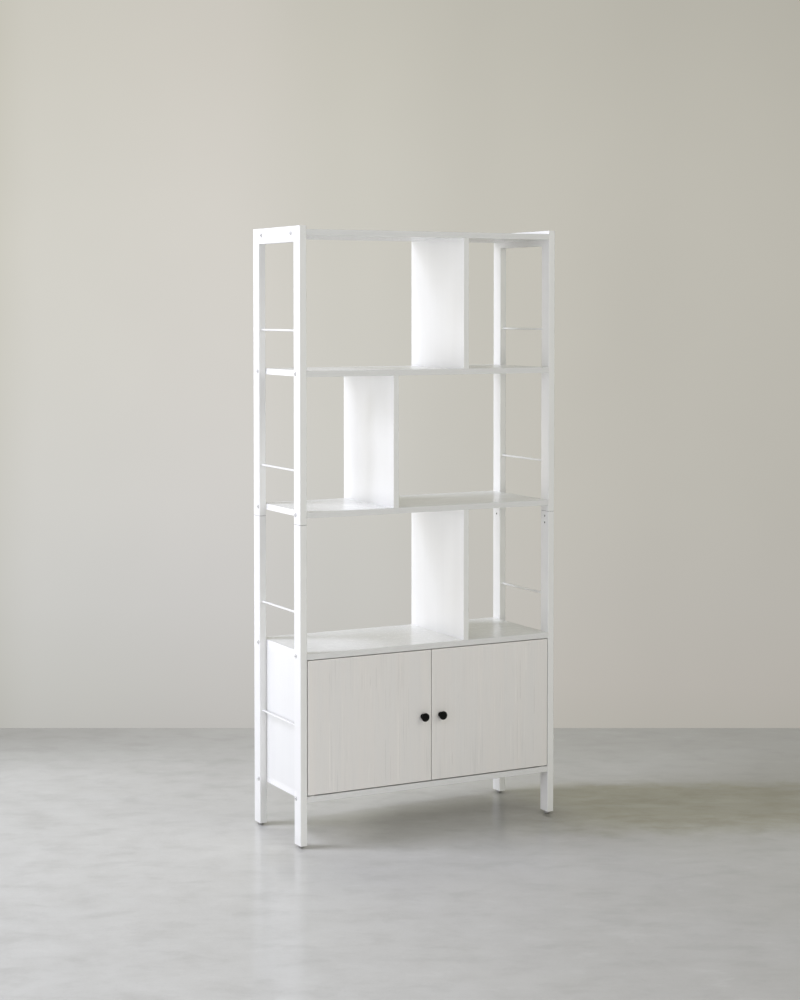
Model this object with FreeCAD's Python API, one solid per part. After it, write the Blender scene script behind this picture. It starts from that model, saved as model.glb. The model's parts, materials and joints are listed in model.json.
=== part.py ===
import FreeCAD, Part
import math
import os

# Open bookcase with a two-door cabinet at its foot.
# Row frame, millimetres: +X to the right as seen from the front, +Y to the back, +Z up.
# The origin lies on the floor, under the middle of the whole object's box, door knobs included.
# Everything below is drawn about the middle of the frame's depth (front face of the posts at y = -depth / 2)
# and moved back by half the knob's projection when it is written, which brings the box's middle to y = 0.

V = FreeCAD.Vector
os.makedirs("parts", exist_ok=True)

# ---------------------------------------------------------------- driving dimensions
width = 800.0             # over the side frames, bolt heads apart
depth = 310.0             # over the posts
height = 1674.0           # floor to the top of the frame
post_x = 20.0             # frame tube, 20 x 40
post_y = 40.0
rail_z = 43.0             # depth of the top rail's tube
wall = 1.5                # tube wall
tube_round = 1.8          # outer corner radius of the tubes
board = 16.0              # shelf, divider and door board
glide_z = 8.0             # what shows of a glide under its post
glide_r = 7.5
seam_z = 873.6            # where the upper posts stand on the lower ones
flange = 1.0              # shoulder of the connector between them

top_panel_top = 1664.2    # top faces of the five boards
upper_shelf_top = 1285.7
middle_shelf_top = 907.3
cabinet_top_top = 526.1
cabinet_bottom_top = 140.2

divider_x = 110.2         # centre of the dividers: right, left, right from the top down

rod_d = 6.0
rod_z = [1393.7, 1016.4, 633.4, 325.9]

bolt_inset = 29.5         # from the posts' outer edges to the bolts' axes
rail_bolt_y = 98.0        # bolts of the top panel, through the rails
rail_bolt_z = 1655.0
bolt_d = 6.0
bolt_head_d = 11.0
bolt_head_t = 2.2
insert_d = 10.0
insert_len = 22.0

door_gap = 2.5            # beside and above each door
foot_gap = 3.5            # under each door
pivot_in = 15.0           # pivot axis from the door's outer edge
pin_d = 6.0
run_clear = 0.05          # radial clearance of a pin in its bush
slip = 0.1                # radial clearance of fixed pieces in their holes
knob_x = 28.0             # knob axis from the middle of the object
knob_z = 324.4
knob_len = 22.0           # projection of the knob from the door
knob_r = 12.0

side_front = 26.0         # front edge of the cabinet's side panels behind the posts' front face
back_in = 12.0            # back panel's rear face in front of the posts' rear face
back_t = 3.0

y_shift = knob_len / 2.0

xi = width / 2 - post_x           # inner face of the side frames
yf, yb = -depth / 2, depth / 2    # front and rear faces
xm = width / 2 - post_x / 2       # middle of the side frames


# ---------------------------------------------------------------- helpers
def block(x0, x1, y0, y1, z0, z1):
    return Part.makeBox(x1 - x0, y1 - y0, z1 - z0, V(x0, y0, z0))


def edges_along(shape, d, test=None):
    found = []
    for e in shape.Edges:
        a, b = e.Vertexes[0].Point, e.Vertexes[-1].Point
        v = b - a
        if v.Length > 1e-6 and abs(abs(v.normalize().dot(d)) - 1) < 1e-6:
            if test is None or test((a + b) * 0.5):
                found.append(e)
    return found


def rounded(x0, x1, y0, y1, z0, z1, r, d):
    """Block whose edges along direction d are rounded."""
    s = block(x0, x1, y0, y1, z0, z1)
    return s.makeFillet(r, edges_along(s, d))


def rod_along(p, d, r, length):
    return Part.makeCylinder(r, length, p, d)


def hexagon(p, d, flats, length):
    """Hexagonal prism on axis d from point p."""
    d = V(d).normalize()
    u = V(0, 0, 1) if abs(d.z) < 0.9 else V(1, 0, 0)
    w = d.cross(u)
    r = flats / math.sqrt(3)
    pts = [p + u * (r * math.cos(math.radians(60 * i + 30))) + w * (r * math.sin(math.radians(60 * i + 30))) for i in range(7)]
    pts[-1] = pts[0]
    return Part.Face(Part.makePolygon(pts)).extrude(d * length)


def turned(points, p, d):
    """Solid turned about the axis through p along d. points are (radius, distance along d), from axis to axis."""
    d = V(d).normalize()
    u = V(0, 0, 1) if abs(d.z) < 0.9 else V(1, 0, 0)
    pts = [p + u * r + d * h for r, h in points]
    return Part.Face(Part.makePolygon(pts + [pts[0]])).revolve(p, d, 360)


def one(shapes):
    """Solids of a group, kept apart."""
    solids = []
    for s in shapes:
        solids += s.Solids
    return solids[0] if len(solids) == 1 else Part.makeCompound(solids)


made = {}


def write(name, shape):
    shape = shape.copy()
    shape.translate(V(0, y_shift, 0))
    for s in shape.Solids:
        if not s.isValid() or s.Volume <= 0:
            raise RuntimeError(name + " is not a sound solid")
    shape.exportStep("parts/" + name + ".step")
    made[name] = shape
    print("%-26s %2d solid(s) %12.1f mm3" % (name, len(shape.Solids), shape.Volume))


# ---------------------------------------------------------------- places of the fasteners
shelf_tops = {
    "top_panel": top_panel_top,
    "upper_shelf": upper_shelf_top,
    "middle_shelf": middle_shelf_top,
    "cabinet_top": cabinet_top_top,
    "cabinet_bottom": cabinet_bottom_top,
}
bolt_spots = {}           # (y, z) of the bolts of each board, the same on both sides
for name, top in shelf_tops.items():
    if name == "top_panel":
        bolt_spots[name] = [(-rail_bolt_y, rail_bolt_z), (rail_bolt_y, rail_bolt_z)]
    else:
        y = depth / 2 - bolt_inset
        bolt_spots[name] = [(-y, top - board / 2), (y, top - board / 2)]
post_bolts = [s for n in shelf_tops if n != "top_panel" for s in bolt_spots[n]]
screw_z = [seam_z - 14.5, seam_z - 33.5]
post_c = depth / 2 - post_y / 2   # middle of a post's depth


# ---------------------------------------------------------------- side frames: 20 x 40 tube, upper and lower posts, mitred top rail
def tube(sx, ymid, z0, z1):
    """Upright tube about (sx * xm, ymid)."""
    x0, x1 = sx * xm - post_x / 2, sx * xm + post_x / 2
    y0, y1 = ymid - post_y / 2, ymid + post_y / 2
    outer = rounded(x0, x1, y0, y1, z0, z1, tube_round, V(0, 0, 1))
    inner = rounded(x0 + wall, x1 - wall, y0 + wall, y1 - wall, z0 - 1, z1 + 1, 0.5, V(0, 0, 1))
    return outer.cut(inner)


def drill(shape, sx, spots, r):
    """Cross holes through a side frame at (y, z)."""
    for y, z in spots:
        shape = shape.cut(rod_along(V(sx * xm - 15, y, z), V(1, 0, 0), r, 30))
    return shape


def corner_wedge(sx, sy, keep_post):
    """Everything on the far side of the mitre between a post and the top rail."""
    out, inn = depth / 2, depth / 2 - post_y
    zt, zb = height, height - rail_z
    k = rail_z / post_y
    a = V(sx * xm - 15, sy * (inn - 20), zb - 20 * k)
    b = V(sx * xm - 15, sy * (out + 20), zt + 20 * k)
    if keep_post:                       # cut away what lies above the mitre
        c = V(a.x, sy * (inn - 20), zt + 20 * k)
    else:                               # cut away what lies below it
        c = V(a.x, sy * (out + 20), zb - 20 * k)
    return Part.Face(Part.makePolygon([a, b, c, a])).extrude(V(30, 0, 0))


for side, sx in (("left", -1), ("right", 1)):
    for end, sy in (("front", -1), ("rear", 1)):
        upper = tube(sx, sy * post_c, seam_z + flange / 2, height)
        upper = upper.cut(corner_wedge(sx, sy, True))
        upper = drill(upper, sx, [s for s in post_bolts if s[0] * sy > 0 and s[1] > seam_z], bolt_d / 2 + 0.2)
        write("%s_upper_%s_post" % (side, end), upper)
        lower = tube(sx, sy * post_c, glide_z, seam_z - flange / 2)
        lower = drill(lower, sx, [s for s in post_bolts if s[0] * sy > 0 and s[1] < seam_z], bolt_d / 2 + 0.2)
        for z in screw_z:               # screw holes on the inner face only
            lower = lower.cut(rod_along(V(sx * (xi - 1), sy * post_c, z), V(sx, 0, 0), 3.3, 4.0))
        write("%s_lower_%s_post" % (side, end), lower)
    x0, x1 = sx * xm - post_x / 2, sx * xm + post_x / 2
    outer = rounded(x0, x1, yf, yb, height - rail_z, height, tube_round, V(0, 1, 0))
    inner = rounded(x0 + wall, x1 - wall, yf - 1, yb + 1, height - rail_z + wall, height - wall, 0.5, V(0, 1, 0))
    rail = outer.cut(inner)
    for sy in (-1, 1):
        rail = rail.cut(corner_wedge(sx, sy, False))
    rail = drill(rail, sx, bolt_spots["top_panel"], bolt_d / 2 + 0.2)
    write("%s_top_rail" % side, rail)
    # thin rods across each side, from post to post
    rods = [rod_along(V(sx * xm, -(depth / 2 - post_y), z), V(0, 1, 0), rod_d / 2, depth - 2 * post_y) for z in rod_z]
    write("%s_side_rods" % side, one(rods))

# ---------------------------------------------------------------- connectors inside the posts at the seam, with their screws
connectors, screws = [], []
spigot = 60.0
for sx in (-1, 1):
    for sy in (-1, 1):
        cx, cy = sx * xm, sy * post_c
        bx, by = post_x / 2 - wall - slip, post_y / 2 - wall - slip
        body = rounded(cx - bx, cx + bx, cy - by, cy + by, seam_z - spigot, seam_z + spigot, 1.8, V(0, 0, 1))
        body = body.makeChamfer(1.0, [e for e in body.Edges if abs(abs(e.BoundBox.Center.z - seam_z) - spigot) < 1e-3 and e.BoundBox.ZLength < 1e-3])
        collar = rounded(cx - post_x / 2 + 0.6, cx + post_x / 2 - 0.6, cy - post_y / 2 + 0.6, cy + post_y / 2 - 0.6, seam_z - flange / 2, seam_z + flange / 2, 1.2, V(0, 0, 1))
        body = body.fuse(collar).removeSplitter()
        body = body.cut(block(cx - 4.0, cx + 4.0, cy - 13, cy + 13, seam_z - spigot - 1, seam_z + spigot + 1))
        y, z = [s for s in bolt_spots["middle_shelf"] if s[0] * sy > 0][0]
        body = body.cut(rod_along(V(cx - 15, y, z), V(1, 0, 0), bolt_d / 2 + 0.2, 30))
        for zz in screw_z:              # threaded holes for the two screws
            body = body.cut(rod_along(V(sx * (xi - 1), cy, zz), V(sx, 0, 0), 3.0 + run_clear, 10))
            s = rod_along(V(sx * (xi + 0.5), cy, zz), V(sx, 0, 0), 3.0, 5.4)
            s = s.makeChamfer(0.5, [e for e in s.Edges if e.BoundBox.XLength < 1e-6 and abs(e.BoundBox.Center.x - sx * (xi + 0.5)) < 1e-3])
            s = s.cut(hexagon(V(sx * (xi + 0.4), cy, zz), V(sx, 0, 0), 3.0, 3.1))
            screws.append(s)
        connectors.append(body)
write("post_connectors", one(connectors))
write("connector_screws", one(screws))

# ---------------------------------------------------------------- glides under the posts
glides = []
for sx in (-1, 1):
    for sy in (-1, 1):
        cx, cy = sx * xm, sy * post_c
        bx, by = post_x / 2 - wall - slip, post_y / 2 - wall - slip
        pad = turned([(0, 0), (glide_r - 1.2, 0), (glide_r, 1.2), (glide_r, glide_z - 2.5), (glide_r - 0.6, glide_z), (0, glide_z)], V(cx, cy, 0), V(0, 0, 1))
        plug = rounded(cx - bx, cx + bx, cy - by, cy + by, glide_z, glide_z + 16, 1.0, V(0, 0, 1))
        plug = plug.cut(block(cx - 5.5, cx + 5.5, cy - 15.5, cy + 15.5, glide_z + 3, glide_z + 17))
        glides.append(pad.fuse(plug).removeSplitter())
write("foot_glides", one(glides))

# ---------------------------------------------------------------- boards, with holes for what is let into them
dowel_d, dowel_len, dowel_in = 8.0, 30.0, 10.0


def lying(x0, x1, y0, y1, z0, z1):
    """Lying board with eased long edges."""
    s = block(x0, x1, y0, y1, z0, z1)
    return s.makeFillet(0.7, edges_along(s, V(1, 0, 0)))


dividers = {
    "top_divider": (divider_x, upper_shelf_top, top_panel_top - board),
    "middle_divider": (-divider_x, middle_shelf_top, upper_shelf_top - board),
    "lower_divider": (divider_x, cabinet_top_top, middle_shelf_top - board),
}
side_x = xi - board / 2           # middle of the cabinet's side panels
side_y0, side_y1 = yf + side_front, yb - back_in - back_t
dowel_spots = []                  # (x, y, z of the joint, node above or below)
for x, z0, z1 in dividers.values():
    for y in (-90.0, 90.0):
        dowel_spots += [("divider", x, y, z0, -1), ("divider", x, y, z1, 1)]
for sx in (-1, 1):
    for y in (-70.0, 75.0):
        dowel_spots += [("side", sx * side_x, y, cabinet_bottom_top, -1), ("side", sx * side_x, y, cabinet_top_top - board, 1)]


def dowel(x, y, z, way, r, extra=0.0):
    """Dowel standing across a joint at height z: 10 mm into the lying board, the rest into the upright one."""
    lo, hi = (z - dowel_in, z + dowel_len - dowel_in) if way < 0 else (z - dowel_len + dowel_in, z + dowel_in)
    return rod_along(V(x, y, lo - extra), V(0, 0, 1), r, hi - lo + 2 * extra)


pivot_x = xi - door_gap - pivot_in
pivot_y = yf + board / 2
door_z0 = cabinet_bottom_top + foot_gap
door_z1 = cabinet_top_top - board - door_gap

bush_r, bush_len, bush_flange_r, bush_flange_t = 4.5, 10.0, 6.5, 1.0
catch_y0, catch_y1 = yf + board + 1.8, yf + board + 15.8
catch_x0, catch_x1 = 10.0, 50.0
catch_z0 = cabinet_top_top - board - 12.0
catch_screw_x = (15.0, 45.0)
catch_screw_y = catch_y1 - 4.5

for name, top in shelf_tops.items():
    b = lying(-xi, xi, yf, yb, top - board, top)
    for y, z in bolt_spots[name]:
        for sx in (-1, 1):
            b = b.cut(rod_along(V(sx * (xi + 1), y, z), V(-sx, 0, 0), insert_d / 2 + slip, insert_len + 1.2))
    for _, x, y, z, way in dowel_spots:
        if abs(z - (top if way < 0 else top - board)) < 0.5:
            b = b.cut(dowel(x, y, z, way, dowel_d / 2 + slip, 0.3))
    if name in ("cabinet_top", "cabinet_bottom"):
        for sx in (-1, 1):
            face, d = (top - board, 1) if name == "cabinet_top" else (top, -1)
            b = b.cut(rod_along(V(sx * pivot_x, pivot_y, face - d), V(0, 0, d), bush_r + slip, bush_len + 1.2))
    if name == "cabinet_top":
        for sx in (-1, 1):
            for x in catch_screw_x:
                b = b.cut(rod_along(V(sx * x, catch_screw_y, top - board - 1), V(0, 0, 1), 1.5 + slip, 11.0))
    write(name, b)

for name, (x, z0, z1) in dividers.items():
    b = block(x - board / 2, x + board / 2, yf, yb, z0, z1)
    b = b.makeFillet(0.7, edges_along(b, V(0, 0, 1)))
    for kind, dx, y, z, way in dowel_spots:
        if kind == "divider" and abs(dx - x) < 0.5 and (abs(z - z0) < 0.5 or abs(z - z1) < 0.5):
            b = b.cut(dowel(dx, y, z, way, dowel_d / 2 + slip, 0.3))
    write(name, b)


def dowels(kind):
    out = []
    for k, x, y, z, way in dowel_spots:
        if k == kind:
            s = dowel(x, y, z, way, dowel_d / 2)
            out.append(s.makeChamfer(0.8, [e for e in s.Edges if e.BoundBox.ZLength < 1e-6]))
    return one(out)


write("divider_dowels", dowels("divider"))
write("side_panel_dowels", dowels("side"))

# ---------------------------------------------------------------- cabinet carcass
back_screw_z = [cabinet_bottom_top + 35.0, cabinet_bottom_top + 130.0, cabinet_top_top - board - 130.0, cabinet_top_top - board - 35.0]
for side, sx in (("left", -1), ("right", 1)):
    xa, xb = sorted((sx * xi, sx * (xi - board)))
    b = block(xa, xb, side_y0, side_y1, cabinet_bottom_top, cabinet_top_top - board)
    b = b.makeFillet(0.7, edges_along(b, V(0, 0, 1), lambda m: m.y < 0))
    for kind, dx, y, z, way in dowel_spots:
        if kind == "side" and dx * sx > 0:
            b = b.cut(dowel(dx, y, z, way, dowel_d / 2 + slip, 0.3))
    for z in back_screw_z:
        b = b.cut(rod_along(V(sx * side_x, side_y1 + 1, z), V(0, -1, 0), 1.5 + slip, 15.2))
    write("%s_side_panel" % side, b)

back = block(-xi, xi, side_y1, side_y1 + back_t, cabinet_bottom_top, cabinet_top_top - board)
back_screws = []
for sx in (-1, 1):
    for z in back_screw_z:
        back = back.cut(rod_along(V(sx * side_x, side_y1 - 1, z), V(0, 1, 0), 1.5 + slip, 6))
        p = V(sx * side_x, side_y1 + back_t, z)
        s = turned([(0, -16.0), (1.5, -14.5), (1.5, 0), (3.6, 0), (3.4, 1.0), (2.2, 1.9), (0, 2.2)], p, V(0, 1, 0))
        for w in (V(1, 0, 0), V(0, 0, 1)):    # cross recess
            q = p + V(0, 1.2, 0)
            s = s.cut(block(q.x - (1.6 if w.x else 0.35), q.x + (1.6 if w.x else 0.35), q.y, q.y + 2, q.z - (1.6 if w.z else 0.35), q.z + (1.6 if w.z else 0.35)))
        back_screws.append(s)
write("back_panel", back)
write("back_panel_screws", one(back_screws))

# ---------------------------------------------------------------- bolts through the frames, and the threaded inserts they hold
inserts = []
for name in shelf_tops:
    group = []
    for sx in (-1, 1):
        for y, z in bolt_spots[name]:
            p = V(sx * width / 2, y, z)
            r, t = bolt_head_d / 2, bolt_head_t
            s = turned([(0, -38.0), (bolt_d / 2 - 0.6, -38.0), (bolt_d / 2, -37.2), (bolt_d / 2, 0), (r, 0), (r, 0.9), (r - 0.7, t - 0.35), (r - 1.6, t), (0, t)], p, V(sx, 0, 0))
            s = s.cut(hexagon(p + V(sx * (t - 3.0), 0, 0), V(sx, 0, 0), 5.0, 5.0))
            group.append(s)
            q = V(sx * xi, y, z)
            i = rod_along(q, V(-sx, 0, 0), insert_d / 2, insert_len).cut(rod_along(q + V(sx, 0, 0), V(-sx, 0, 0), bolt_d / 2 + run_clear, insert_len + 2))
            inserts.append(i)
    write(name + "_bolts", one(group))
write("shelf_inserts", one(inserts))

# ---------------------------------------------------------------- doors
door_w = (2 * xi - 3 * door_gap) / 2
strike_x, strike_z = 30.0, cabinet_top_top - board - 6.5
for side, sx in (("left", -1), ("right", 1)):
    xa, xb = sorted((sx * door_gap / 2, sx * (door_gap / 2 + door_w)))
    d = block(xa, xb, yf, yf + board, door_z0, door_z1)
    front = [e for e in d.Edges if e.BoundBox.YMax < yf + 1e-3]
    d = d.makeFillet(0.9, front)
    rear = [e for e in d.Edges if e.BoundBox.YMin > yf + board - 1e-3]
    d = d.makeFillet(0.5, rear)
    # pins in the top and bottom edges
    px = sx * pivot_x
    for z, w in ((door_z0, 1), (door_z1, -1)):
        d = d.cut(rod_along(V(px, pivot_y, z - w), V(0, 0, w), pin_d / 2 + slip, 19.2))
    d = d.cut(rod_along(V(sx * knob_x, yf - 1, knob_z), V(0, 1, 0), 2.2, board + 2))
    sp = V(sx * strike_x, yf + board, strike_z)
    for o in (-9.0, 9.0):
        d = d.cut(rod_along(sp + V(o, 1, 0), V(0, -1, 0), 1.4 + slip, 11.4))
    write("%s_door" % side, d)

    # pivot pins: a collar takes the door's weight at the foot
    low = rod_along(V(px, pivot_y, cabinet_bottom_top - 7.0), V(0, 0, 1), pin_d / 2, 7.0 + foot_gap + 18.0)
    low = low.makeChamfer(0.5, [e for e in low.Edges if e.BoundBox.ZLength < 1e-6])
    collar = foot_gap - bush_flange_t - 0.3
    low = low.fuse(rod_along(V(px, pivot_y, door_z0 - collar), V(0, 0, 1), 5.0, collar)).removeSplitter()
    high = rod_along(V(px, pivot_y, door_z1 - 18.0), V(0, 0, 1), pin_d / 2, 18.0 + door_gap + 7.0)
    high = high.makeChamfer(0.5, [e for e in high.Edges if e.BoundBox.ZLength < 1e-6])
    write("%s_door_pins" % side, one([low, high]))

    # knob, turned about its axis
    p = V(sx * knob_x, yf, knob_z)
    u = V(0, 0, 1)

    def at(r, h):
        return p + u * r + V(0, -h, 0)

    neck = Part.BSplineCurve()
    neck.interpolate([at(6.2, 3.0), at(4.9, 4.8), at(4.6, 7.4), at(5.7, 10.8), at(8.4, 14.2), at(11.2, 16.3)])
    cap = Part.BSplineCurve()
    cap.interpolate(Points=[at(knob_r, 17.6), at(knob_r - 0.6, 19.3), at(knob_r - 3.0, 20.8), at(4.8, 21.7), at(0, knob_len)], InitialTangent=V(0, -1, 0), FinalTangent=V(0, 0, -1))
    rim = Part.Arc(at(11.2, 16.3), at(11.8, 16.8), at(knob_r, 17.6))
    wire = Part.Wire([
        Part.makeLine(at(0, 0), at(6.7, 0)),
        Part.makeLine(at(6.7, 0), at(7.0, 0.4)),
        Part.makeLine(at(7.0, 0.4), at(7.0, 2.2)),
        Part.Arc(at(7.0, 2.2), at(6.75, 2.8), at(6.2, 3.0)).toShape(),
        neck.toShape(),
        rim.toShape(),
        cap.toShape(),
        Part.makeLine(at(0, knob_len), at(0, 0)),
    ])
    k = Part.Face(wire).revolve(p, V(0, -1, 0), 360)
    k = k.cut(rod_along(p + V(0, 1, 0), V(0, -1, 0), 2.0 + run_clear, 13.0))
    write("%s_knob" % side, k)

    # screw that holds the knob, from inside the cabinet
    q = p + V(0, board, 0)
    s = turned([(0, -board - 11.0), (1.5, -board - 11.0), (2.0, -board - 10.4), (2.0, 0), (4.2, 0), (4.1, 0.9), (3.0, 1.9), (0, 2.3)], q, V(0, 1, 0))
    for a, b in ((2.0, 0.45), (0.45, 2.0)):
        s = s.cut(block(q.x - a, q.x + a, q.y + 1.1, q.y + 3, q.z - b, q.z + b))
    write("%s_knob_screw" % side, s)

    # strike plate of the magnetic catch, and its two screws
    plate = rounded(sp.x - 16, sp.x + 16, sp.y, sp.y + 1.2, sp.z - 4.7, sp.z + 4.7, 2.0, V(0, 1, 0))
    group = []
    for o in (-9.0, 9.0):
        c = sp + V(o, 0, 0)
        plate = plate.cut(Part.makeCone(1.4 + slip, 2.6 + slip, 1.2, c, V(0, 1, 0)))
        s = turned([(0, -9.8), (0.5, -9.8), (1.4, -8.6), (1.4, 0), (2.6, 1.2), (0, 1.2)], c, V(0, 1, 0))
        for a, b in ((1.2, 0.3), (0.3, 1.2)):
            s = s.cut(block(c.x - a, c.x + a, c.y + 0.5, c.y + 3, c.z - b, c.z + b))
        group.append(s)
    write("%s_strike_plate" % side, plate)
    write("%s_strike_screws" % side, one(group))

# ---------------------------------------------------------------- bushes that the pins turn in
bushes = []
for sx in (-1, 1):
    for face, w in ((cabinet_top_top - board, 1), (cabinet_bottom_top, -1)):
        p = V(sx * pivot_x, pivot_y, face)
        b = rod_along(p, V(0, 0, w), bush_r, bush_len)
        b = b.fuse(rod_along(p, V(0, 0, -w), bush_flange_r, bush_flange_t)).removeSplitter()
        b = b.cut(rod_along(p + V(0, 0, -w * 3), V(0, 0, w), pin_d / 2 + run_clear, 3 + 8.5))
        bushes.append(b)
write("pivot_bushes", one(bushes))

# ---------------------------------------------------------------- magnetic catches under the cabinet's top
cases, magnets, catch_screws = [], [], []
zt = cabinet_top_top - board
for sx in (-1, 1):
    xa, xb = sorted((sx * catch_x0, sx * catch_x1))
    c = rounded(xa, xb, catch_y0 + 0.6, catch_y1, catch_z0, zt, 2.0, V(0, 0, 1))
    xc = sx * (catch_x0 + catch_x1) / 2
    slot = block(xc - 9, xc + 9, catch_y0 - 1, catch_y0 + 8, catch_z0 + 1.5, zt - 1.5)
    c = c.cut(slot)
    m = block(xc - 8.8, xc + 8.8, catch_y0, catch_y0 + 7.8, catch_z0 + 1.7, zt - 1.7)
    magnets.append(m.makeFillet(0.5, [e for e in m.Edges if e.BoundBox.YMax < catch_y0 + 1e-3]))
    for x in catch_screw_x:
        p = V(sx * x, catch_screw_y, catch_z0 + 2.5)
        c = c.cut(rod_along(p + V(0, 0, -5), V(0, 0, 1), 3.0 + slip, 5.0)).cut(rod_along(p, V(0, 0, 1), 1.5 + slip, 12))
        s = turned([(0, -2.0), (2.2, -1.9), (3.0, -1.0), (3.0, 0), (1.5, 0), (1.5, 18.2), (0.4, 19.2), (0, 19.2)], p, V(0, 0, 1))
        for a, b in ((1.5, 0.35), (0.35, 1.5)):
            s = s.cut(block(p.x - a, p.x + a, p.y - b, p.y + b, p.z - 3, p.z - 1.0))
        catch_screws.append(s)
    cases.append(c)
write("magnetic_catches", one(cases))
write("catch_magnets", one(magnets))
write("catch_screws", one(catch_screws))

# ---------------------------------------------------------------- summary
box = FreeCAD.BoundBox()
for s in made.values():
    box.add(s.BoundBox)
print("nodes", len(made), "box", [round(v, 3) for v in (box.XMin, box.YMin, box.ZMin, box.XMax, box.YMax, box.ZMax)])
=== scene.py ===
import json
import math

import bpy
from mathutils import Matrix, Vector


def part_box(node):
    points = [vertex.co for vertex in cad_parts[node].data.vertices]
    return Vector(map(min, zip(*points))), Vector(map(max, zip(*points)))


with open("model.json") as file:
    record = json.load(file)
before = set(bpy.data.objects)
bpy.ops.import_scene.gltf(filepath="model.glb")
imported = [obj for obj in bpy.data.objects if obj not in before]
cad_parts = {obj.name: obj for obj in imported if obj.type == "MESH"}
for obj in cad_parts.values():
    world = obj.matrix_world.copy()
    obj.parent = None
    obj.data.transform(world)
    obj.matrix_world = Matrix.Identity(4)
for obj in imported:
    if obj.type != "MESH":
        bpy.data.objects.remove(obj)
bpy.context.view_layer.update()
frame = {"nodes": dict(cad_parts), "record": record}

nodes = frame["nodes"]
scene = bpy.context.scene

# ---------------------------------------------------------------- camera: 800 x 1000 frame
F_PX = 1942.250                       # focal length in pixels of that frame
CAM = Vector((-2.569173, -4.842258, 1.453856))
YAW = -0.48410
PITCH = math.radians(-2.0)
HORIZON_ROW = 375.940                 # row of the camera's axis

cam_data = bpy.data.cameras.new("camera")
cam = bpy.data.objects.new("camera", cam_data)
scene.collection.objects.link(cam)
cam.location = CAM
cam.rotation_euler = (math.pi / 2 + PITCH, 0.0, YAW)
cam_data.sensor_fit = "AUTO"
cam_data.sensor_width = 36.0
cam_data.lens = F_PX / 1000.0 * 36.0
cam_data.shift_x = 0.0
cam_data.shift_y = -(500.0 - HORIZON_ROW) / 1000.0
cam_data.clip_end = 200.0
cam_data.dof.use_dof = False
scene.camera = cam

AHEAD = Vector((-math.sin(YAW), math.cos(YAW), 0.0))     # level, away from the camera
RIGHT = Vector((math.cos(YAW), math.sin(YAW), 0.0))

# ---------------------------------------------------------------- levels of the lights
WORLD = 1.0
SIDE_GLOW = (1.880, 1.815, 1.700)     # the bright side of the room
VIEW = "Standard"


# ---------------------------------------------------------------- node helpers
class Graph:
    """A node tree with short calls for the nodes used here."""

    def __init__(self, tree):
        self.tree = tree
        self.x = 0

    def new(self, kind, **props):
        n = self.tree.nodes.new(kind)
        self.x += 40
        n.location = (self.x, 0)
        for k, v in props.items():
            setattr(n, k, v)
        return n

    def put(self, socket, value):
        if isinstance(value, bpy.types.NodeSocket):
            self.tree.links.new(value, socket)
        else:
            socket.default_value = value

    def coords(self, space="Object"):
        return self.new("ShaderNodeTexCoord").outputs[space]

    def scaled(self, vector, scale, offset=(0, 0, 0)):
        n = self.new("ShaderNodeMapping", vector_type="POINT")
        self.put(n.inputs["Vector"], vector)
        n.inputs["Scale"].default_value = scale
        n.inputs["Location"].default_value = offset
        return n.outputs["Vector"]

    def noise(self, vector, scale=1.0, detail=2.0, rough=0.5, distort=0.0, what="Fac"):
        n = self.new("ShaderNodeTexNoise")
        self.put(n.inputs["Vector"], vector)
        n.inputs["Scale"].default_value = scale
        n.inputs["Detail"].default_value = detail
        n.inputs["Roughness"].default_value = rough
        n.inputs["Distortion"].default_value = distort
        return n.outputs[what]

    def voronoi(self, vector, scale=1.0, feature="F1", what="Distance"):
        n = self.new("ShaderNodeTexVoronoi", feature=feature)
        self.put(n.inputs["Vector"], vector)
        n.inputs["Scale"].default_value = scale
        return n.outputs[what]

    def span(self, value, a, b, c, d, smooth=False):
        """value from a..b to c..d, clamped."""
        n = self.new("ShaderNodeMapRange", clamp=True)
        if smooth:
            n.interpolation_type = "SMOOTHSTEP"
        self.put(n.inputs["Value"], value)
        n.inputs["From Min"].default_value = a
        n.inputs["From Max"].default_value = b
        n.inputs["To Min"].default_value = c
        n.inputs["To Max"].default_value = d
        return n.outputs["Result"]

    def math(self, op, a, b=None, c=None):
        n = self.new("ShaderNodeMath", operation=op)
        self.put(n.inputs[0], a)
        if b is not None:
            self.put(n.inputs[1], b)
        if c is not None:
            self.put(n.inputs[2], c)
        return n.outputs[0]

    def mix(self, fac, a, b, blend="MIX"):
        """Colours mixed."""
        n = self.new("ShaderNodeMix", data_type="RGBA", blend_type=blend)
        self.put(n.inputs[0], fac)
        self.put(n.inputs[6], a)
        self.put(n.inputs[7], b)
        return n.outputs[2]

    def split(self, vector):
        n = self.new("ShaderNodeSeparateXYZ")
        self.put(n.inputs[0], vector)
        return n.outputs

    def ramp(self, value, stops, ease="LINEAR"):
        n = self.new("ShaderNodeValToRGB")
        self.put(n.inputs[0], value)
        r = n.color_ramp
        r.interpolation = ease
        while len(r.elements) > 1:
            r.elements.remove(r.elements[-1])
        r.elements[0].position = stops[0][0]
        r.elements[0].color = stops[0][1]
        for p, c in stops[1:]:
            e = r.elements.new(p)
            e.color = c
        return n.outputs["Color"]

    def bump(self, height, strength, distance, normal=None):
        n = self.new("ShaderNodeBump")
        n.inputs["Strength"].default_value = strength
        n.inputs["Distance"].default_value = distance
        self.put(n.inputs["Height"], height)
        if normal is not None:
            self.put(n.inputs["Normal"], normal)
        return n.outputs["Normal"]


def lin(r, g, b):
    """Linear colour of an 8-bit tone."""
    def one(v):
        v /= 255.0
        return v / 12.92 if v <= 0.04045 else ((v + 0.055) / 1.055) ** 2.4
    return (one(r), one(g), one(b), 1.0)


def shade(c, k):
    return (c[0] * k, c[1] * k, c[2] * k, 1.0)


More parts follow.
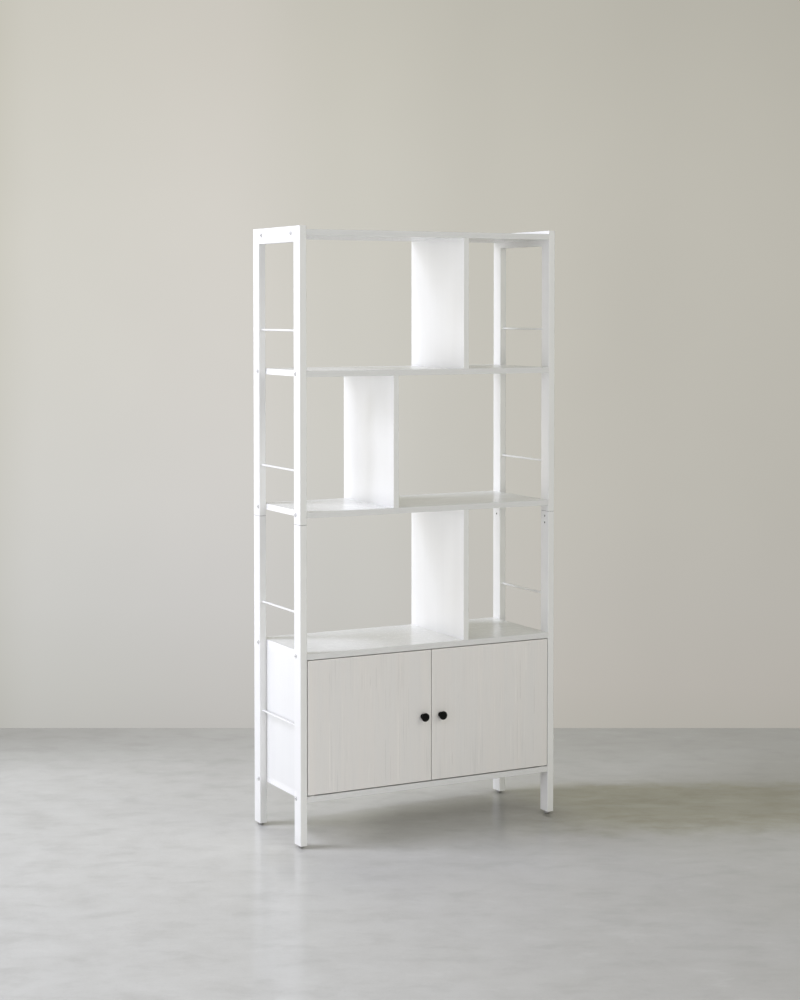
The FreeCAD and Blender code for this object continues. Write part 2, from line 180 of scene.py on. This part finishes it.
def material(name):
    m = bpy.data.materials.new(name)
    m.use_nodes = True
    tree = m.node_tree
    tree.nodes.clear()
    g = Graph(tree)
    out = g.new("ShaderNodeOutputMaterial")
    b = g.new("ShaderNodeBsdfPrincipled")
    tree.links.new(b.outputs["BSDF"], out.inputs["Surface"])
    return m, g, b


# ---------------------------------------------------------------- materials
def coat_white(name, tone, rough_lo=0.34, rough_hi=0.48, feet=True):
    """Powder coat on steel: fine orange peel, slightly uneven sheen, a trace of dirt low down."""
    m, g, b = material(name)
    p = g.coords()
    peel = g.noise(p, 620.0, 2.0, 0.5)
    fine = g.noise(p, 2600.0, 1.0, 0.5)
    broad = g.noise(g.scaled(p, (6.0, 6.0, 2.2)), 1.0, 3.0, 0.55)
    patch = g.noise(p, 38.0, 3.0, 0.6)
    col = g.mix(g.span(broad, 0.3, 0.7, 0.0, 1.0), shade(tone, 0.985), shade(tone, 1.012))
    col = g.mix(g.span(patch, 0.35, 0.75, 0.0, 0.25), col, shade(tone, 0.975))
    if feet:
        z = g.split(p)[2]
        dust_and_shade = g.math("MULTIPLY", g.span(z, 0.0, 0.05, 1.0, 0.0, True), g.span(patch, 0.3, 0.7, 0.1, 0.5))
        col = g.mix(dust_and_shade, col, shade(tone, 0.86))
    g.put(b.inputs["Base Color"], col)
    r = g.math("ADD", g.span(broad, 0.3, 0.7, rough_lo, rough_hi), g.span(patch, 0.3, 0.7, -0.03, 0.03))
    g.put(b.inputs["Roughness"], r)
    h = g.math("ADD", peel, g.math("MULTIPLY", fine, 0.25))
    g.put(b.inputs["Normal"], g.bump(h, 0.18, 0.00035))
    b.inputs["Specular IOR Level"].default_value = 0.5
    return m


def bolt_coat(name, tone):
    """White-coated screw: darker inside the socket and round the head's rim, partly bare steel where the key has
    rubbed, partly painted shade in the recess and under the head's edge.
    """
    m, g, b = material(name)
    p = g.coords()
    out = g.math("ABSOLUTE", g.split(p)[0])
    rub = g.noise(p, 900.0, 2.0, 0.6)
    peel = g.noise(p, 1400.0, 2.0, 0.5)
    deep = g.span(g.math("ADD", out, g.span(rub, 0.3, 0.7, -0.0001, 0.0001)), 0.40110, 0.40150, 1.0, 0.0)
    col = g.mix(g.span(rub, 0.3, 0.7, 0.0, 0.4), tone, shade(tone, 0.95))
    # painted shade, in part: the socket's inside and the head's rim darkened, besides the bare steel there
    col = g.mix(g.math("MULTIPLY", deep, 0.82), col, (0.16, 0.16, 0.155, 1))
    g.put(b.inputs["Base Color"], col)
    g.put(b.inputs["Roughness"], g.span(rub, 0.3, 0.7, 0.34, 0.46))
    g.put(b.inputs["Normal"], g.bump(peel, 0.15, 0.00012))
    return m


def grain_vector(g, p, axis, along, across, seed):
    """Object coordinates stretched along a board's grain."""
    s = [across, across, across]
    s["XYZ".index(axis)] = along
    return g.scaled(p, tuple(s), (seed, seed * 1.7, seed * 0.6))


def laminate(name, axis, tone, warm, cool, streaks, pores, rough=(0.38, 0.52), seed=0.0, clusters=False, details=None, embossed=0.25):
    """Printed and embossed woodgrain foil on board. axis is the grain's direction."""
    m, g, b = material(name)
    p = g.coords()
    # a slow wander, so that the lines aren't ruled
    wander = g.noise(grain_vector(g, p, axis, 1.6, 9.0, seed + 3.1), 1.0, 2.0, 0.5, what="Color")
    w = g.new("ShaderNodeVectorMath", operation="MULTIPLY_ADD")
    g.put(w.inputs[0], wander)
    w.inputs[1].default_value = (0.012, 0.012, 0.012)
    g.put(w.inputs[2], p)
    q = w.outputs[0]
    broad = g.noise(grain_vector(g, q, axis, 1.3, 26.0, seed), 1.0, 2.0, 0.55)
    mid = g.noise(grain_vector(g, q, axis, 4.2, 150.0, seed + 5.0), 1.0, 3.0, 0.6)
    fine = g.noise(grain_vector(g, q, axis, 11.0, 520.0, seed + 9.0), 1.0, 2.0, 0.6)
    pore = g.noise(grain_vector(g, q, axis, 38.0, 1500.0, seed + 13.0), 1.0, 1.0, 0.5)
    col = g.mix(g.span(broad, 0.32, 0.68, 0.0, 1.0, True), cool, warm)
    if clusters:
        group = g.noise(grain_vector(g, p, axis, 2.6, 15.0, seed + 21.0), 1.0, 2.0, 0.5)
        streaks = g.span(group, 0.44, 0.60, streaks * 0.35, streaks * 1.5, True)
    light = g.math("MULTIPLY", g.span(mid, 0.56, 0.70, 0.0, 1.0, True), streaks)
    dark = g.math("MULTIPLY", g.span(mid, 0.44, 0.30, 0.0, 1.0, True), streaks)
    col = g.mix(light, col, shade(tone, 1.09))
    col = g.mix(dark, col, shade(cool, 0.86))
    thread = g.math("MULTIPLY", g.span(fine, 0.5, 0.72, 0.0, 0.55, True), streaks)
    col = g.mix(thread, col, shade(cool, 0.88))
    hole = g.math("MULTIPLY", g.span(pore, 0.60, 0.74, 0.0, 1.0, True), g.span(fine, 0.40, 0.60, 0.25, 1.0))
    col = g.mix(g.math("MULTIPLY", hole, pores), col, shade(cool, 0.74))
    if details:
        col = details(g, p, col, tone)
    g.put(b.inputs["Base Color"], col)
    r = g.math("ADD", g.span(mid, 0.3, 0.7, rough[0], rough[1]), g.math("MULTIPLY", hole, 0.12))
    g.put(b.inputs["Roughness"], r)
    h = g.math("SUBTRACT", g.math("MULTIPLY", fine, 0.6), hole)
    g.put(b.inputs["Normal"], g.bump(h, embossed, 0.00022))
    b.inputs["Specular IOR Level"].default_value = 0.5
    return m


# single grain lines of the doors' foil, in millimetres: across, from, to, half width, light (+) or dark (-)
GRAIN = [
    (-313.5, 148, 300, 2.0, 0.60), (-313.0, 280, 345, 1.6, 0.35), (-308.0, 165, 325, 1.8, -0.30), (-313.5, 438, 478, 1.8, -0.45),
    (-105.0, 148, 350, 2.0, 0.70), (-101.0, 160, 300, 1.6, -0.20), (-93.0, 402, 486, 1.8, -0.50), (-228.0, 425, 470, 2.0, 0.40),
    (-216.0, 410, 476, 1.8, -0.40), (-205.0, 405, 480, 1.6, 0.35), (-190.0, 415, 455, 2.2, -0.50), (-172.0, 405, 485, 1.8, -0.50),
    (-163.0, 398, 462, 1.8, 0.40), (-143.0, 345, 425, 1.6, -0.40), (-130.0, 350, 430, 1.6, -0.40), (-121.0, 340, 400, 1.6, 0.30),
    (-143.0, 150, 280, 1.8, -0.45), (-128.0, 150, 235, 1.6, -0.40), (-194.0, 155, 222, 1.8, 0.40), (-72.0, 290, 420, 1.8, -0.35),
    (-262.0, 215, 262, 1.6, -0.35), (-86.0, 250, 330, 1.5, 0.30), (-176.0, 255, 330, 1.5, -0.25),
    (306.0, 415, 500, 2.4, 0.65), (287.0, 335, 465, 2.0, -0.55), (277.0, 435, 482, 1.8, 0.35), (272.0, 325, 388, 1.8, 0.45),
    (278.0, 330, 390, 1.6, -0.35), (334.0, 290, 385, 2.0, -0.50), (331.0, 178, 262, 1.8, -0.45), (256.0, 165, 285, 1.7, 0.35),
    (264.0, 160, 280, 1.6, -0.35), (281.0, 165, 300, 1.7, 0.40), (290.0, 170, 290, 1.6, -0.35), (158.0, 165, 228, 1.8, -0.45),
    (150.0, 165, 215, 1.6, 0.30), (204.0, 260, 378, 1.7, 0.35), (156.0, 238, 318, 2.2, 0.35), (67.0, 172, 222, 1.8, -0.45),
    (303.0, 220, 330, 1.6, 0.30), (62.0, 395, 425, 1.6, -0.35), (240.0, 205, 300, 1.5, -0.20),
]


def shelf_details(g, p, col, tone):
    """The banding on the boards' front and rear edges, a shade deeper than the faces' foil: partly the banding's own
    tone, partly painted shade against the shelves' lightened foil.
    """
    lo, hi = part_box("middle_shelf")
    y = g.split(p)[1]
    front = g.span(y, lo[1] + 0.0005, lo[1] + 0.0011, 1.0, 0.0)
    rear = g.span(y, hi[1] - 0.0011, hi[1] - 0.0005, 0.0, 1.0)
    # painted shade, in part: the front and rear edge faces darkened
    return g.mix(g.math("MAXIMUM", front, rear), col, shade(tone, 0.845))


def door_details(g, p, col, tone):
    """The foil's longer grain lines, and a painted highlight along the doors' edges."""
    x, y, z = g.split(p)
    wave = g.span(g.noise(g.scaled(p, (9.0, 9.0, 14.0)), 1.0, 1.0, 0.5), 0.3, 0.7, -0.0009, 0.0009)
    xw = g.math("ADD", x, wave)
    grey = g.noise(g.scaled(p, (40.0, 40.0, 110.0)), 1.0, 1.0, 0.5)
    sums = {}
    for at, z0, z1, w, k in GRAIN:
        near = g.span(g.math("ABSOLUTE", g.math("SUBTRACT", xw, at / 1000.0)), 0.0, w / 1000.0, abs(k), 0.0, True)
        rise = g.span(z, z0 / 1000.0, (z0 + 16.0) / 1000.0, 0.0, 1.0, True)
        fall = g.span(z, (z1 - 22.0) / 1000.0, z1 / 1000.0, 1.0, 0.0, True)
        m = g.math("MULTIPLY", near, g.math("MULTIPLY", rise, fall))
        side = k > 0
        sums[side] = m if side not in sums else g.math("ADD", sums[side], m)
    broken = g.span(grey, 0.30, 0.50, 0.55, 1.0, True)
    col = g.mix(g.math("MULTIPLY", sums[True], broken), col, shade(tone, 1.17))
    col = g.mix(g.math("MULTIPLY", sums[False], broken), col, shade(tone, 0.78))
    # painted highlight: the face lightened within a few millimetres of every door edge
    lo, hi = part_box("right_door")
    ax = g.math("ABSOLUTE", x)
    d = g.math("MINIMUM", g.math("SUBTRACT", ax, lo[0]), g.math("SUBTRACT", hi[0], ax))
    d = g.math("MINIMUM", d, g.math("MINIMUM", g.math("SUBTRACT", z, lo[2]), g.math("SUBTRACT", hi[2], z)))
    return g.mix(g.span(d, 0.0014, 0.0026, 0.75, 0.0, True), col, shade(tone, 1.13))


def moulded(name, tone, rough=(0.42, 0.55), grain=1400.0, depth=0.12, spec=0.5):
    """Moulded plastic with a spark-eroded face."""
    m, g, b = material(name)
    p = g.coords()
    n = g.noise(p, grain, 2.0, 0.6)
    broad = g.noise(p, 55.0, 2.0, 0.5)
    g.put(b.inputs["Base Color"], g.mix(g.span(broad, 0.3, 0.7, 0.0, 1.0), shade(tone, 0.94), shade(tone, 1.05)))
    g.put(b.inputs["Roughness"], g.span(n, 0.3, 0.7, rough[0], rough[1]))
    g.put(b.inputs["Normal"], g.bump(n, depth, 0.0002))
    b.inputs["Specular IOR Level"].default_value = spec
    return m


def plated(name, tone, rough=(0.24, 0.42), metal=1.0):
    """Plated or oxidised steel: fine turning marks and cloudy sheen."""
    m, g, b = material(name)
    p = g.coords()
    cloud = g.noise(p, 260.0, 3.0, 0.6)
    marks = g.noise(g.scaled(p, (3000.0, 900.0, 900.0)), 1.0, 2.0, 0.6)
    g.put(b.inputs["Base Color"], g.mix(g.span(cloud, 0.3, 0.7, 0.0, 1.0), shade(tone, 0.86), shade(tone, 1.08)))
    g.put(b.inputs["Roughness"], g.math("ADD", g.span(cloud, 0.3, 0.7, rough[0], rough[1]), g.span(marks, 0.3, 0.7, -0.04, 0.04)))
    g.put(b.inputs["Normal"], g.bump(marks, 0.12, 0.0001))
    b.inputs["Metallic"].default_value = metal
    return m


def beech(name, axis):
    m, g, b = material(name)
    p = g.coords()
    s = grain_vector(g, p, axis, 30.0, 900.0, 2.0)
    n = g.noise(s, 1.0, 3.0, 0.6)
    fleck = g.noise(grain_vector(g, p, axis, 220.0, 1700.0, 7.0), 1.0, 1.0, 0.5)
    col = g.mix(g.span(n, 0.3, 0.7, 0.0, 1.0), (0.56, 0.36, 0.20, 1), (0.70, 0.49, 0.30, 1))
    col = g.mix(g.span(fleck, 0.60, 0.72, 0.0, 0.6), col, (0.36, 0.19, 0.09, 1))
    g.put(b.inputs["Base Color"], col)
    g.put(b.inputs["Roughness"], g.span(n, 0.3, 0.7, 0.55, 0.7))
    g.put(b.inputs["Normal"], g.bump(n, 0.3, 0.0002))
    return m


def hardboard(name, tone):
    """Thin painted fibreboard: a soft canvas-like mottle."""
    m, g, b = material(name)
    p = g.coords()
    fib = g.noise(g.scaled(p, (240.0, 240.0, 90.0)), 1.0, 4.0, 0.65)
    speck = g.voronoi(p, 900.0)
    col = g.mix(g.span(fib, 0.3, 0.7, 0.0, 1.0), shade(tone, 0.955), shade(tone, 1.02))
    col = g.mix(g.span(speck, 0.0, 0.18, 0.25, 0.0), col, shade(tone, 0.82))
    g.put(b.inputs["Base Color"], col)
    g.put(b.inputs["Roughness"], g.span(fib, 0.3, 0.7, 0.52, 0.68))
    g.put(b.inputs["Normal"], g.bump(fib, 0.22, 0.0003))
    return m


WHITE = (0.800, 0.800, 0.795, 1.0)
BOARD = (0.775, 0.777, 0.770, 1.0)
# SHELF is the boards' white made lighter for the shelves: painted light for their brighter tops
SHELF = (0.856, 0.857, 0.858, 1.0)
DOOR = (0.765, 0.746, 0.728, 1.0)

mats = {
    "frame_coat": coat_white("frame_coat", WHITE),
    "shelf_board": laminate("shelf_board", "X", SHELF, shade(SHELF, 1.0), shade(SHELF, 0.985), 0.060, 0.030, rough=(0.22, 0.255), seed=1.0, details=shelf_details, embossed=0.03),
    "upright_board": laminate("upright_board", "Z", BOARD, shade(BOARD, 1.002), shade(BOARD, 0.984), 0.070, 0.030, rough=(0.28, 0.315), seed=4.0, embossed=0.03),
    "door_board": laminate("door_board", "Z", DOOR, (0.782, 0.758, 0.742, 1), (0.765, 0.750, 0.741, 1), 0.34, 0.16, seed=11.0, clusters=True, details=door_details, embossed=0.26),
    "back_board": hardboard("back_board", (0.76, 0.758, 0.742, 1.0)),
    "dowel_wood": beech("dowel_wood", "Z"),
    "knob_black": moulded("knob_black", (0.0045, 0.0047, 0.0040, 1.0), rough=(0.36, 0.50), grain=1900.0, depth=0.10, spec=0.18),
    "bolt_white": bolt_coat("bolt_white", shade(WHITE, 0.97)),
    "zinc_steel": plated("zinc_steel", (0.50, 0.50, 0.49, 1.0)),
    "black_steel": plated("black_steel", (0.035, 0.035, 0.036, 1.0), rough=(0.40, 0.55), metal=0.6),
    "connector_plastic": moulded("connector_plastic", (0.11, 0.11, 0.11, 1.0)),
    "glide_plastic": moulded("glide_plastic", (0.30, 0.30, 0.29, 1.0)),
    "bush_plastic": moulded("bush_plastic", (0.70, 0.70, 0.68, 1.0)),
    "magnet": plated("magnet", (0.22, 0.22, 0.23, 1.0), rough=(0.45, 0.6)),
}

UPRIGHT = ("top_divider", "middle_divider", "lower_divider", "left_side_panel", "right_side_panel")
slot_of = {}
for m in frame["record"]["materials"]:
    for n in m.get("nodes", []):
        slot_of[n] = m["slot"]
for name, o in nodes.items():
    have = o.data.materials[0].name if o.data.materials and o.data.materials[0] else ""
    slot = slot_of.get(name) or have
    kind = "upright_board" if name in UPRIGHT else slot
    if kind not in mats:
        raise RuntimeError("no material for node %s, slot %r" % (name, slot))
    for i in range(max(1, len(o.material_slots))):
        if not o.material_slots:
            o.data.materials.append(mats[kind])
        o.material_slots[i].material = mats[kind]


# ---------------------------------------------------------------- floor
FAR = 6.682                            # the floor's far edge, from the camera, along the ground
base = Vector((CAM.x, CAM.y, 0.0))


def floor_mesh():
    back, side = 26.0, 30.0
    nx, ny = 30, 24
    verts, faces = [], []
    for j in range(ny + 1):
        for i in range(nx + 1):
            a = -side + 2 * side * i / nx
            d = FAR - (FAR + back) * j / ny
            v = base + RIGHT * a + AHEAD * d
            verts.append((v.x, v.y, 0.0))
    for j in range(ny):
        for i in range(nx):
            k = j * (nx + 1) + i
            faces.append((k, k + nx + 1, k + nx + 2, k + 1))
    me = bpy.data.meshes.new("floor")
    me.from_pydata(verts, [], faces)
    me.update()
    return me


floor = bpy.data.objects.new("floor", floor_mesh())
scene.collection.objects.link(floor)


def floor_material():
    """Polished concrete: clouds, faint trowel marks, satin sheen."""
    m, g, b = material("floor_concrete")
    p = g.coords()
    # place across and along the view's ground direction, in metres from below the camera
    def along(v):
        n = g.new("ShaderNodeVectorMath", operation="DOT_PRODUCT")
        g.put(n.inputs[0], p)
        n.inputs[1].default_value = v
        return n.outputs["Value"]
    across = g.math("SUBTRACT", along(tuple(RIGHT)), CAM.dot(RIGHT))
    ahead = g.math("SUBTRACT", along(tuple(AHEAD)), base.dot(AHEAD))
    cloud = g.noise(p, 1.6, 5.0, 0.6)
    mottle = g.noise(p, 9.0, 5.0, 0.62)
    speck = g.noise(p, 160.0, 3.0, 0.6)
    frame_xy = g.new("ShaderNodeCombineXYZ")
    g.put(frame_xy.inputs[0], across)
    g.put(frame_xy.inputs[1], ahead)
    trowel = g.noise(g.scaled(frame_xy.outputs[0], (7.0, 12.0, 1.0), (3.7, 1.2, 0.0)), 1.0, 5.0, 0.60, 0.25)
    tone_l = (0.696, 0.694, 0.677, 1)
    tone_r = (0.514, 0.503, 0.472, 1)
    # painted light: the floor lighter at the left and darker at the right, as the light falls off away from the left
    col = g.mix(g.span(across, -1.2, 1.2, 0.0, 1.0), tone_l, tone_r)
    col = g.mix(g.span(cloud, 0.35, 0.65, 0.0, 0.45), col, shade(tone_l, 0.88))
    col = g.mix(g.span(mottle, 0.40, 0.68, 0.0, 0.25), col, shade(tone_r, 0.90))
    col = g.mix(g.span(trowel, 0.46, 0.72, 0.0, 0.20, True), col, shade(tone_r, 0.66))
    col = g.mix(g.span(trowel, 0.44, 0.28, 0.0, 0.16, True), col, shade(tone_l, 1.14))
    col = g.mix(g.span(speck, 0.55, 0.75, 0.0, 0.20), col, shade(tone_r, 0.80))
    # painted shade: darker towards its far edge, where floor meets backdrop, most of all at the left
    col = g.mix(g.span(ahead, FAR - 0.9, FAR, 0.0, 0.30, True), col, shade(tone_r, 0.55))
    far_left = g.math("MULTIPLY", g.span(ahead, FAR - 0.75, FAR, 0.0, 1.0, True), g.span(across, -0.25, -1.30, 0.0, 0.50, True))
    col = g.mix(far_left, col, shade(tone_r, 0.40))
    # the slab is painted darker and browner where the object's shadow falls, in floor coordinates; the lights alone leave it too pale
    stray = g.math("ADD", ahead, g.span(mottle, 0.3, 0.7, -0.05, 0.05))
    patch = g.math("MULTIPLY", g.span(stray, 5.24, 5.50, 0.0, 1.0, True), g.span(stray, 5.82, 5.95, 1.0, 0.0, True))
    patch = g.math("MULTIPLY", patch, g.math("MULTIPLY", g.span(across, 0.20, 0.60, 0.0, 1.0, True), g.span(across, 1.0, 1.9, 1.0, 0.25, True)))
    patch = g.math("MULTIPLY", patch, g.span(trowel, 0.35, 0.60, 0.75, 1.0))
    col = g.mix(patch, col, (0.80, 0.78, 0.65, 1), "MULTIPLY")
    # painted shade: the floor darkened where ambient occlusion finds the object close by, round the feet and under its
    # front, less so to the left
    ao = g.new("ShaderNodeAmbientOcclusion", samples=6)
    ao.inputs["Distance"].default_value = 0.20
    dust_and_shade = g.math("MULTIPLY", g.span(ao.outputs["AO"], 0.25, 0.95, 0.55, 0.0), g.span(across, -0.16, 0.02, 0.12, 1.0, True))
    col = g.mix(dust_and_shade, col, shade(tone_r, 0.18))
    g.put(b.inputs["Base Color"], col)
    g.put(b.inputs["Roughness"], g.span(mottle, 0.35, 0.65, 0.13, 0.20))
    ripple = g.noise(g.scaled(frame_xy.outputs[0], (26.0, 70.0, 1.0)), 1.0, 1.0, 0.4)
    g.put(b.inputs["Normal"], g.bump(g.math("ADD", ripple, g.math("MULTIPLY", speck, 0.03)), 0.05, 0.0016))
    b.inputs["Specular IOR Level"].default_value = 0.16
    return m


floor.data.materials.append(floor_material())


# ---------------------------------------------------------------- world: the room's light and the tone behind the object
def make_world():
    world = bpy.data.worlds.new("room")
    scene.world = world
    world.use_nodes = True
    tree = world.node_tree
    tree.nodes.clear()
    g = Graph(tree)
    out = g.new("ShaderNodeOutputWorld")
    bg = g.new("ShaderNodeBackground")
    tree.links.new(bg.outputs[0], out.inputs["Surface"])
    d = g.coords("Generated")
    z = g.split(d)[2]

    def dot(v):
        n = g.new("ShaderNodeVectorMath", operation="DOT_PRODUCT")
        g.put(n.inputs[0], d)
        n.inputs[1].default_value = v
        return n.outputs["Value"]

    def times(colour, k):
        n = g.new("ShaderNodeVectorMath", operation="SCALE")
        g.put(n.inputs[0], colour)
        g.put(n.inputs["Scale"], k)
        return n.outputs[0]
    a, r = dot(tuple(AHEAD)), dot(tuple(RIGHT))
    # the plastered wall behind the object: lighter to the left, darker towards ceiling and floor
    wall = g.ramp(g.span(r, -0.25, 0.25, 0.0, 1.0), [
        (0.06, lin(201, 198, 188)),
        (0.14, lin(212, 209, 202)),
        (0.32, lin(212, 208, 202)),
        (0.45, lin(205, 202, 194)),
        (0.60, lin(197, 194, 186)),
        (0.78, lin(190, 187, 179)),
        (1.00, lin(185, 182, 174)),
    ], "EASE")
    low_l = g.ramp(g.span(z, -0.22, -0.02, 0.0, 1.0), [(0.00, (0.75, 0.75, 0.75, 1)), (0.15, (0.825, 0.83, 0.83, 1)), (0.35, (0.90, 0.905, 0.915, 1)), (0.60, (0.955, 0.957, 0.965, 1)), (1.0, (1, 1, 1, 1))])
    low_r = g.ramp(g.span(z, -0.22, -0.02, 0.0, 1.0), [(0.00, (0.86, 0.855, 0.85, 1)), (0.15, (0.93, 0.915, 0.925, 1)), (0.35, (0.96, 0.955, 0.965, 1)), (0.60, (0.99, 0.99, 0.99, 1)), (1.0, (1, 1, 1, 1))])
    low = g.mix(g.span(r, -0.14, 0.08, 0.0, 1.0, True), low_l, low_r)
    wall = g.mix(1.0, wall, low, "MULTIPLY")
    # cooler low down at the left, warmer towards the ceiling
    down = g.mix(g.span(r, -0.03, 0.10, 0.0, 1.0, True), (1.003, 1.020, 1.042, 1), (0.985, 0.985, 0.980, 1))
    wall = g.mix(1.0, wall, g.mix(g.span(z, -0.13, 0.13, 0.0, 1.0), down, (1.0, 1.0, 0.965, 1)), "MULTIPLY")
    cloud = g.noise(d, 9.0, 3.0, 0.55)
    k = g.math("MULTIPLY", g.span(z, 0.03, 0.22, 1.0, 0.88, True), g.span(cloud, 0.3, 0.7, 0.985, 1.015))
    wall = times(wall, k)
    # the other sides of the room, with the bright side at the left rear
    level = g.span(z, 0.30, 0.60, 1.0, 0.0, True)
    ahead = g.span(a, 0.55, 0.80, 0.0, 1.0, True)
    left = g.math("MULTIPLY", g.span(r, -0.45, -0.65, 0.0, 1.0, True), g.span(a, -0.10, 0.15, 0.0, 1.0, True))
    room = g.mix(left, (0.270, 0.266, 0.258, 1), tuple(SIDE_GLOW) + (1,))
    room = g.mix(ahead, room, wall)
    col = g.mix(level, (0.05, 0.05, 0.05, 1), room)
    ground = g.ramp(g.span(r, -0.6, 0.6, 0.0, 1.0), [(0.0, lin(190, 190, 187)), (1.0, lin(158, 156, 150))])
    col = g.mix(g.span(z, -0.30, -0.24, 1.0, 0.0, True), col, ground)
    g.put(bg.inputs["Color"], col)
    bg.inputs["Strength"].default_value = WORLD
    return world


make_world()


# ---------------------------------------------------------------- lights
def area(name, azimuth, elevation, size, power, colour=(1, 1, 1), tall=None, gloss=False):
    """Soft box six metres away, turned to the object; azimuth 0 is the object's left, 90 its rear, -90 its front."""
    t, e = math.radians(azimuth), math.radians(elevation)
    place = Vector((-6.0 * math.cos(e) * math.cos(t), 6.0 * math.cos(e) * math.sin(t), 0.5 + 6.0 * math.sin(e)))
    d = bpy.data.lights.new(name, "AREA")
    d.shape = "RECTANGLE"
    d.size = size
    d.size_y = size if tall is None else tall
    d.energy = power
    d.color = colour
    o = bpy.data.objects.new(name, d)
    scene.collection.objects.link(o)
    o.location = place
    o.rotation_euler = (Vector((0.0, 0.0, 0.8)) - place).to_track_quat("-Z", "Y").to_euler()
    o.visible_camera = False
    o.visible_glossy = gloss
    return o


KEY, FILL, FRONT = (0.936, 0.966, 1.106), (0.954, 0.962, 1.060), (1.040, 1.036, 0.945)
area("key_high", 12, 56, 1.5, 121.0, KEY)
area("key_strip", 27, 30, 0.7, 56.0, KEY, tall=2.4)
area("key_mid", 20, 30, 0.7, 37.0, KEY, tall=1.0)
area("key_floor", 27, 3, 0.7, 20.0, KEY, tall=1.0)
area("low", 15, 1, 1.2, 37.0)
area("fill_left", -15, 5, 2.4, 66.5, FILL)
area("fill_high", -45, 40, 2.4, 38.0, FILL)
area("front", -80, 5, 2.4, 109.0, FRONT)
area("fill_right", -115, 35, 2.4, 46.0, FRONT)
area("rear", 90, 42, 2.4, 66.0, (1.04, 1.06, 0.86))

scene.view_settings.view_transform = VIEW
scene.view_settings.look = "None"
scene.view_settings.exposure = 0.0
scene.view_settings.gamma = 1.0
